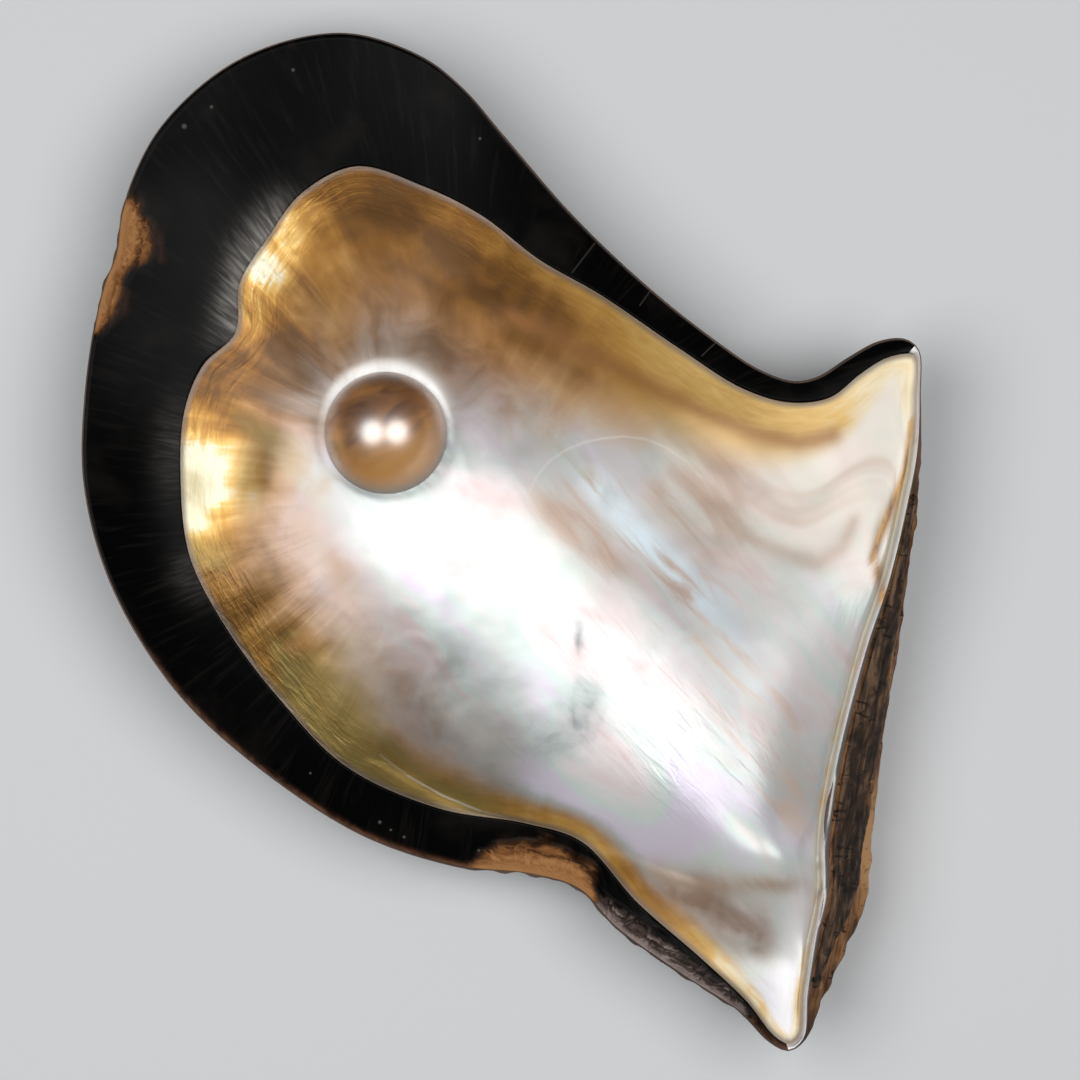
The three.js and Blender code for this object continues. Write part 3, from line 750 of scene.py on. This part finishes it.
# Painted highlight along the hinge side of the ear and at the umbo
pale = blend(tree, mask(tree, "hinge_highlight", 0.85), pale, (0.95, 0.92, 0.92))
pale = blend(tree, mask(tree, "pink_stripe", 0.55), pale, (0.50, 0.33, 0.24))
lilac = blend(tree, spread(tree, hue, 0.42, 0.6), (0.48, 0.44, 0.49), (0.44, 0.47, 0.44))
fringe = plus(tree, mask(tree, "fringe"), about(tree, mottle, 0.7))
pale = blend(tree, spread(tree, fringe, 0.1, 0.5, 0, 0.8), pale, lilac)
# Painted shade: a greenish grey zone on the lower left wall, where it turns from the lamps
shaded_share = mask(tree, "grey", spread(tree, mottle, 0.3, 0.65, 0.98, 0.6))
greenish = blend(tree, spread(tree, streak, 0.42, 0.58), (0.38, 0.31, 0.31), (0.33, 0.36, 0.34))
pale = blend(tree, shaded_share, pale, greenish)
sanded = mask(tree, "sand", spread(tree, mottle, 0.35, 0.65, 0.9, 0.4))
pale = blend(tree, sanded, pale, (0.36, 0.25, 0.18))
pale = blend(tree, spread(tree, fringe, 0.45, 0.9, 0, 0.85), pale, (0.50, 0.36, 0.28))
ray = use(tree, rays, Place=place, Middle=FAN_AT, Fineness=9, Shortness=45)


def growth_lines(along_edge, across_edge, detail):
    """Noise drawn out along the edge of the nacre."""
    flat = {axis: times(tree, axes[axis], along_edge) for axis in ("X", "Y")}
    depth = mask(tree, "edge_depth", across_edge)
    return grain(tree, point(tree, Z=depth, **flat), 1, detail, distortion=0.6)


wave = growth_lines(45, 0.16, 1)
wrinkle = growth_lines(260, 1.5, 3)
by_edge = spread(tree, mask(tree, "edge_depth"), 9, 3)
rayed = times(tree, sums(tree, "SUBTRACT", ray, 0.5), mask(tree, "rayed"))
calm = spread(tree, mask(tree, "calm"), 0, 1, 1, 0.22)
ripple = plus(tree, times(tree, rayed, 1.2), about(tree, mottle, 0.7))
crinkle = times(tree, about(tree, wrinkle, 0.7), times(tree, by_edge, mask(tree, "rayed")))
change = times(tree, plus(tree, ripple, about(tree, wave, 0.7)), calm)
tone = plus(tree, plus(tree, mask(tree, "tone"), crinkle), change)
banded = stops(
    tree,
    tone,
    (0.0, (0.86, 0.80, 0.60)),
    (0.2, (0.75, 0.48, 0.15)),
    (0.4, (0.53, 0.28, 0.06)),
    (0.6, (0.36, 0.168, 0.03)),
    (0.8, (0.225, 0.094, 0.014)),
    (1.0, (0.13, 0.055, 0.01)),
)
olive = times(tree, spread(tree, hue, 0.44, 0.6, 0.1, 0.7), mask(tree, "olive"))
banded = blend(tree, olive, banded, (0.31, 0.25, 0.08))
patchy = times(tree, plus(tree, times(tree, rayed, 0.8), about(tree, mottle, 0.5)), calm)
gold_share = spread(tree, plus(tree, mask(tree, "gold"), patchy), 0.05, 0.95)
tinted = blend(tree, gold_share, pale, banded)
tinted = blend(tree, mask(tree, "brown_stripe", 0.75), tinted, (0.33, 0.14, 0.04))
pearl_ray = use(tree, rays, Place=place, Middle=tuple(to_frame(*PEARL_AT, 0)), Fineness=4.5, Shortness=70)
# Painted highlight: the crescent above the pearl and the glow in rays beyond it, painted near white
lit = mask(tree, "highlight_crescent", spread(tree, pearl_ray, 0.2, 0.7, 0.75, 1))
glow = mask(tree, "halo", spread(tree, pearl_ray, 0.3, 0.75, 0.1, 0.5))
tinted = blend(tree, sums(tree, "MAXIMUM", lit, glow), tinted, (0.95, 0.93, 0.9))
# The muscle scar's own pale outline, and a painted highlight along the crest of the lower fold, each drawn as
# a thin pale line
for line, width, strength in ((SCAR, 0.0003, 0.2), (FOLD_CREST_HIGHLIGHT, 0.00025, 0.4)):
    drawn = 0.0
    for step, (start, end) in enumerate(zip(line, line[1:])):
        faded = strength * math.sin(math.pi * (step + 0.5) / (len(line) - 1))
        stroke = times(tree, line_mark(tree, place, start, end, width), faded)
        drawn = sums(tree, "MAXIMUM", drawn, stroke)
    tinted = blend(tree, drawn, tinted, (0.92, 0.88, 0.78))
# Darker at the very edge of the nacre: thin nacre over the black prisms, with painted shade along the step
dark_edge = spread(tree, mask(tree, "edge_depth"), 1.1, 0.2, 0, 0.8)
rimmed = blend(tree, dark_edge, tinted, (0.16, 0.13, 0.11))
amber_tint = stops(tree, wrinkle, (0.35, (0.2, 0.08, 0.015)), (0.6, (0.5, 0.26, 0.06)))
smoother = spread(tree, cloud, 0.3, 0.7, 0.31, 0.39)
feather = grain(tree, place, 480, 4, stretch=(0.25, 1.4, 1), turn=ALONG_TROUGH, distortion=0.6)
feathered = times(tree, feather, spread(tree, mask(tree, "trough"), 0, 1, 0.08, 1.1))
relief = plus(tree, feathered, times(tree, rayed, 0.6))
wrinkled = times(tree, by_edge, mask(tree, "rayed", 0.5))
relief = plus(tree, relief, times(tree, wrinkle, wrinkled))
nacre_looks = {
    "Base Color": blend(tree, mask(tree, "amber"), rimmed, amber_tint),
    "Roughness": spread(tree, dulled, 0, 1, smoother, 0.5),
    # less metal where light is painted in
    "Metallic": spread(tree, mask(tree, "painted_light_matte"), 0, 1, 0.66, 0.2),
    "Normal": raised(tree, relief, 0.5, 0.0004),
    "Thin Film Thickness": 420,
    "Thin Film IOR": 1.5,
    "Coat Weight": 0.1,
    "Coat Roughness": 0.12,
}
join(tree, shader, nacre_looks)

# The border: black prisms in fine rays, with whitish fibres by the nacre that carry a painted sheen. It is
# broken to tan layers and stained brown where it is chipped, split into grey scales by the ear, and has a
# thin russet edge below.
border, tree, shader, place = new_finish("border")
ray = use(tree, rays, Place=place, Middle=FAN_AT, Fineness=60, Shortness=110)
smudge = spread(tree, grain(tree, place, 90, 6, distortion=0.3), 0.5, 0.75)
smudge = sums(tree, "MAXIMUM", smudge, spread(tree, ray, 0.5, 0.7, 0, 0.6))
black = blend(tree, smudge, (0.0012, 0.0012, 0.0012), (0.009, 0.0075, 0.0065))
# Whitish fibres by the nacre, with a painted sheen on them
hairs = use(tree, rays, Place=place, Middle=FAN_AT, Fineness=80, Shortness=260)
fibre_sheen = mask(tree, "fibres", spread(tree, hairs, 0.34, 0.72, 0.3, 1))
marked = blend(tree, fibre_sheen, black, (0.32, 0.295, 0.27))
CRACKS = (((4.6, 38.4), (7.8, 42.4)), ((14.3, 33.6), (15.9, 35.8)), ((23.2, 26.4), (25.2, 28.3)))
CRACK_WIDTH = 0.00018
SPECKS = (
    (-51, 59.3, 0.5), (-47.1, 62.1, 0.35), (-35.4, 67.4, 0.35), (-8.6, 57.5, 0.3), (-23, -40.5, 0.35),
    (-19.5, -42.6, 0.3), (-21.4, -41.6, 0.25), (-33, -33.5, 0.25), (-8.8, -44.6, 0.3),
)
for start, end in CRACKS:
    crack = line_mark(tree, place, start, end, CRACK_WIDTH)
    marked = blend(tree, crack, marked, (0.035, 0.03, 0.027))
for at_x, at_y, size in SPECKS:
    speck = line_mark(tree, place, (at_x, at_y), (at_x, at_y), size / 1000)
    marked = blend(tree, speck, marked, (0.1, 0.09, 0.085))
flakes = grain(tree, place, 260, 6, distortion=1.6)
leaves = point(tree, X=mask(tree, "margin_depth", 0.6), Y=times(tree, flakes, 4))
layers = grain(tree, leaves, 1.3, 6, distortion=0.8)
uneven = about(tree, layers, 1.5)
torn = plus(tree, mask(tree, "chip", 0.85), plus(tree, uneven, 0.2))
tan = stops(
    tree,
    torn,
    (0.12, (0.03, 0.013, 0.006)),
    (0.34, (0.09, 0.037, 0.015)),
    (0.58, (0.22, 0.09, 0.03)),
    (0.9, (0.42, 0.2, 0.075)),
)
torn_edge = plus(tree, mask(tree, "laminate", 0.8), times(tree, uneven, 1.2))
scales = stops(
    tree, torn_edge, (0.2, (0.008, 0.006, 0.005)), (0.5, (0.07, 0.048, 0.04)), (0.85, (0.32, 0.25, 0.23))
)
varied = plus(tree, times(tree, uneven, 1.2), 1)
stained = spread(tree, mask(tree, "stain", varied), 0.05, 0.7, 0, 0.95)
marked = blend(tree, stained, marked, (0.05, 0.021, 0.009))
russet = mask(tree, "russet", spread(tree, flakes, 0.35, 0.6, 0.25, 0.95))
marked = blend(tree, russet, marked, (0.17, 0.075, 0.04))
marked = blend(tree, spread(tree, mask(tree, "laminate"), 0.0, 0.25), marked, scales)
shown = spread(tree, mask(tree, "chip", varied), 0.0, 0.4)
torn_share = plus(tree, mask(tree, "chip"), mask(tree, "laminate"), clamp=True)
relief = plus(tree, times(tree, ray, 0.04), times(tree, layers, torn_share))
border_looks = {
    "Base Color": blend(tree, shown, marked, tan),
    "Roughness": spread(tree, mask(tree, "chip"), 0.05, 0.3, 0.32, 0.6),
    "Normal": raised(tree, relief, 0.6, 0.0006),
    "Specular IOR Level": 0.06,
}
join(tree, shader, border_looks)

# The outside: dark rough skin in growth layers and rays, a thin brown edge, and the fibrous band at the hinge
outside, tree, shader, place = new_finish("outside")
fibre = use(tree, strands, Place=place)
bark = stops(
    tree,
    plus(tree, fibre, mask(tree, "tan", 0.4)),
    (0.36, (0.03, 0.014, 0.008)),
    (0.49, (0.16, 0.07, 0.028)),
    (0.6, (0.36, 0.175, 0.07)),
    (0.8, (0.62, 0.34, 0.14)),
)
growth_place = point(tree, X=mask(tree, "grown", 30))
growth_place = vectors(tree, "ADD", growth_place, scaled(tree, place, 60.0))
layered = grain(tree, growth_place, 1, 4, distortion=0.6)
back_ray = use(tree, rays, Place=place, Middle=UMBO_POINT, Fineness=16, Shortness=40)
skin = stops(
    tree,
    layered,
    (0.3, (0.012, 0.009, 0.007)),
    (0.5, (0.045, 0.03, 0.02)),
    (0.7, (0.12, 0.085, 0.055)),
)
rayed = blend(tree, spread(tree, back_ray, 0.48, 0.72, 0, 0.5), skin, (0.15, 0.11, 0.07))
worn = stops(tree, layered, (0.35, (0.05, 0.025, 0.014)), (0.65, (0.19, 0.1, 0.055)))
edged = blend(tree, mask(tree, "rim"), rayed, worn)
depths = {0: mask(tree, "hinge"), 2: layered, 3: fibre}
texture = add(tree, "Mix", depths, data_type="FLOAT").outputs[0]
outside_looks = {
    "Base Color": blend(tree, mask(tree, "hinge"), edged, bark),
    "Roughness": 0.7,
    "Specular IOR Level": 0.25,
    "Normal": raised(tree, texture, 0.6, 0.0006),
}
join(tree, shader, outside_looks)

for material in (nacre, border, outside):
    valve.data.materials.append(material)
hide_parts("valve")
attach(valve, "root")

# The half pearl: a bead that the nacre grew over, seated on the hollow with a crisp foot. Its own skin of
# nacre is bronze-gold and very glossy.
FOOT_DEPTH = 0.3
PEARL_SEGMENTS, PEARL_RINGS = 128, 96
CRISP_ANGLE = math.radians(50)
pearl_seat = float(hollow(PEARL_AT[0], PEARL_AT[1]))
pearl_middle = to_frame(*PEARL_AT, pearl_seat)
bpy.ops.object.select_all(action="DESELECT")
bpy.ops.mesh.primitive_uv_sphere_add(
    segments=PEARL_SEGMENTS, ring_count=PEARL_RINGS, radius=PEARL_RADIUS / 1000
)
pearl = bpy.context.object
pearl.name = "pearl_dome"
bpy.ops.object.mode_set(mode="EDIT")
bpy.ops.mesh.select_all(action="SELECT")
bpy.ops.mesh.bisect(plane_co=(0, 0, 0), plane_no=(0, 0, 1), clear_inner=True)
bpy.ops.mesh.extrude_edges_move(TRANSFORM_OT_translate={"value": (0, 0, -FOOT_DEPTH / 1000)})
bpy.ops.mesh.edge_face_add()
bpy.ops.mesh.select_all(action="SELECT")
bpy.ops.mesh.normals_make_consistent(inside=False)
bpy.ops.object.mode_set(mode="OBJECT")
for vertex in pearl.data.vertices:
    if vertex.co.z > 0:
        vertex.co.z *= PEARL_HEIGHT / PEARL_RADIUS
    elif vertex.co.z < -FOOT_DEPTH / 2000:
        turn = math.atan2(vertex.co.y, vertex.co.x) - HINGE_LEAN
        seat = float(hollow(*(PEARL_AT + PEARL_RADIUS * np.array((math.cos(turn), math.sin(turn))))))
        vertex.co.z = (min(seat, pearl_seat) - FOOT_DEPTH - pearl_seat) / 1000
    vertex.co += Vector(pearl_middle)
bpy.ops.object.shade_smooth_by_angle(angle=CRISP_ANGLE)

SHADED_HEIGHT = 0.0065
SUNNY_WAY, SUNNY_FROM, SUNNY_TO = (0.5, -0.85, 0), -0.002, 0.006
bronze, tree, shader, place = new_finish("pearl")
cloud = grain(tree, place, 130, 4, stretch=(0.6, 1.6, 1), turn=math.radians(35), distortion=1.6)
height = add(tree, "SeparateXYZ", {0: place}).outputs["Z"]
seat_z = float(pearl_middle[2])
warm = blend(tree, spread(tree, cloud, 0.3, 0.7), (0.17, 0.055, 0.01), (0.58, 0.24, 0.06))
# Painted shade: the dome darker towards its foot
rise = spread(tree, height, seat_z, seat_z + SHADED_HEIGHT)
from_middle = vectors(tree, "SUBTRACT", place, tuple(pearl_middle))
# Painted reflection: the nacre's glare painted as warm orange on the dome's lower right side
sunny = spread(tree, vectors(tree, "DOT_PRODUCT", from_middle, SUNNY_WAY), SUNNY_FROM, SUNNY_TO)
warm = blend(tree, sunny, warm, (1.0, 0.47, 0.1))
pearl_looks = {
    "Base Color": blend(tree, rise, (0.18, 0.07, 0.022), warm),
    "Roughness": 0.36,
    "Metallic": 0.15,
    "Coat Weight": 1.0,
    "Coat IOR": 4.2,
    "Coat Roughness": 0.33,
}
join(tree, shader, pearl_looks)
pearl.data.materials.append(bronze)
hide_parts("half_pearl")
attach(pearl, "root")

# The hinge ligament: a dried, dark, fibrous strip of horny tissue, grown fast to the sloping band outside the
# hinge line.
LIGAMENT_FROM, LIGAMENT_TO = 0.782, 0.952
LIGAMENT_INNER, LIGAMENT_WIDTH, LIGAMENT_THICKNESS = 0.1, 0.55, 0.9
LIGAMENT_STEPS, LIGAMENT_ROUND = 240, 28
LIGAMENT_OUT, LIGAMENT_UP, LIGAMENT_TIP = 0.7, 0.6, 0.04
LIGAMENT_SEAT, LIGAMENT_CROWN, LIGAMENT_FULLNESS, UNDERSIDE = 0.25, 0.85, 0.6, -0.15
FIBRE_ROWS, FIBRE_LENGTHS, FIBRE_HEIGHT = 14, 60, 0.25
run = np.linspace(0, 1, LIGAMENT_STEPS + 1)
stop = (LIGAMENT_FROM + (LIGAMENT_TO - LIGAMENT_FROM) * run) * SPOKES
spoke_number = np.arange(SPOKES + 1)
foot_x, foot_y, foot_bulge, out_x, out_y, drop = (
    np.interp(stop, spoke_number, column)[:, None]
    for column in (rim[:, 0], rim[:, 1], bulge, outward[:, 0], outward[:, 1], edge_drop)
)
foot_z = np.interp(stop, spoke_number, inside_z[-1])[:, None]
width = LIGAMENT_WIDTH * np.sin(np.pi * (LIGAMENT_TIP + (1 - 2 * LIGAMENT_TIP) * run))[:, None]
turn = np.linspace(0, 2 * math.pi, LIGAMENT_ROUND + 1)[None, :]
across = LIGAMENT_INNER + width * (0.5 - 0.5 * np.cos(turn))
tall = np.clip(np.sin(turn), UNDERSIDE, 1)
fibres = rough(across * FIBRE_ROWS + 0 * run[:, None], run[:, None] * FIBRE_LENGTHS + 0 * across, 1.0)
lift = LIGAMENT_SEAT + LIGAMENT_CROWN * np.abs(tall) ** LIGAMENT_FULLNESS * np.sign(tall)
lift = LIGAMENT_THICKNESS * lift + FIBRE_HEIGHT * fibres * (tall > 0)
strip_out = foot_bulge * np.sin(across * math.pi / 2) + lift * LIGAMENT_OUT
strip_x = foot_x + out_x * strip_out
strip_y = foot_y + out_y * strip_out
strip_z = foot_z - drop * across + lift * LIGAMENT_UP
ligament = start_lattice("ligament_strip", LIGAMENT_ROUND, LIGAMENT_STEPS)
for end in (0, -1):
    strip_x[end], strip_y[end], strip_z[end] = strip_x[end].mean(), strip_y[end].mean(), strip_z[end].mean()
ligament.data.vertices.foreach_set("co", to_frame(strip_x, strip_y, strip_z).ravel())
outer = ligament.data.attributes.new("outer", "FLOAT", "POINT")
outer.data.foreach_set("value", ((across - LIGAMENT_INNER) / LIGAMENT_WIDTH).ravel())
close_lattice()

horn, tree, shader, place = new_finish("ligament")
fibre = use(tree, strands, Place=place)
dried = stops(
    tree,
    fibre,
    (0.38, (0.012, 0.008, 0.006)),
    (0.5, (0.05, 0.028, 0.017)),
    (0.62, (0.17, 0.1, 0.055)),
)
browner = stops(
    tree,
    fibre,
    (0.34, (0.03, 0.014, 0.008)),
    (0.5, (0.15, 0.068, 0.028)),
    (0.64, (0.4, 0.2, 0.08)),
)
turned = plus(tree, mask(tree, "outer"), sums(tree, "SUBTRACT", fibre, 0.5))
ligament_looks = {
    "Base Color": blend(tree, spread(tree, turned, 0.5, 0.85, 0, 0.9), dried, browner),
    "Roughness": 0.65,
    "Specular IOR Level": 0.25,
    "Normal": raised(tree, fibre, 0.6, 0.0006),
}
join(tree, shader, ligament_looks)
ligament.data.materials.append(horn)
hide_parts("hinge_ligament")
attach(ligament, "root")

# The floor: a plain pale sheet of matt paper that the shell lies on, loose. It sets the stage and isn't a
# piece of the shell.
FLOOR_SIZE = 3
bpy.ops.object.select_all(action="DESELECT")
bpy.ops.mesh.primitive_plane_add(size=FLOOR_SIZE)
floor = bpy.context.object
floor.name = "floor"
paper, tree, shader, _ = new_finish("floor")
join(tree, shader, {"Base Color": (0.78, 0.79, 0.80), "Roughness": 0.9})
floor.data.materials.append(paper)

# Light and camera: two round soft lamps stand either side of the camera in a dim room, and the camera looks
# straight down.
PIXELS_PER_MM, PHOTO_WIDTH = 7, 1080
CAMERA_HEIGHT, SENSOR_WIDTH = 0.7, 36
LAMP_SIZE, LAMP_POWER, LAMP_DISTANCE = 0.58, 2.7, 0.75
ROOM_STRENGTH = 0.05
view_middle = Vector(to_frame(0, 0, 0))
for name, lean in (("left_box", -27), ("right_box", 22)):
    light = bpy.data.lights.new(name, "AREA")
    light.shape = "DISK"
    light.size = LAMP_SIZE
    light.energy = LAMP_POWER
    lamp = bpy.data.objects.new(name, light)
    side = math.sin(math.radians(lean)) * LAMP_DISTANCE
    rise = math.cos(math.radians(lean)) * LAMP_DISTANCE
    lamp.location = view_middle + Vector((side * math.cos(HINGE_LEAN), side * math.sin(HINGE_LEAN), rise))
    lamp.rotation_euler = (view_middle - lamp.location).to_track_quat("-Z", "Y").to_euler()
    bpy.context.scene.collection.objects.link(lamp)
world = bpy.data.worlds.new("room")
world.use_nodes = True
room_looks = {"Color": (0.9, 0.95, 1.0), "Strength": ROOM_STRENGTH}
join(world.node_tree, world.node_tree.nodes["Background"], room_looks)
bpy.context.scene.world = world

camera = bpy.data.objects.new("camera", bpy.data.cameras.new("camera"))
camera.location = view_middle + Vector((0, 0, CAMERA_HEIGHT))
camera.rotation_euler = (0, 0, HINGE_LEAN)
camera.data.sensor_width = SENSOR_WIDTH
camera.data.lens = SENSOR_WIDTH * CAMERA_HEIGHT / (PHOTO_WIDTH / PIXELS_PER_MM / 1000)
bpy.context.scene.collection.objects.link(camera)
bpy.context.scene.camera = camera
bpy.context.scene.view_settings.view_transform = "Standard"
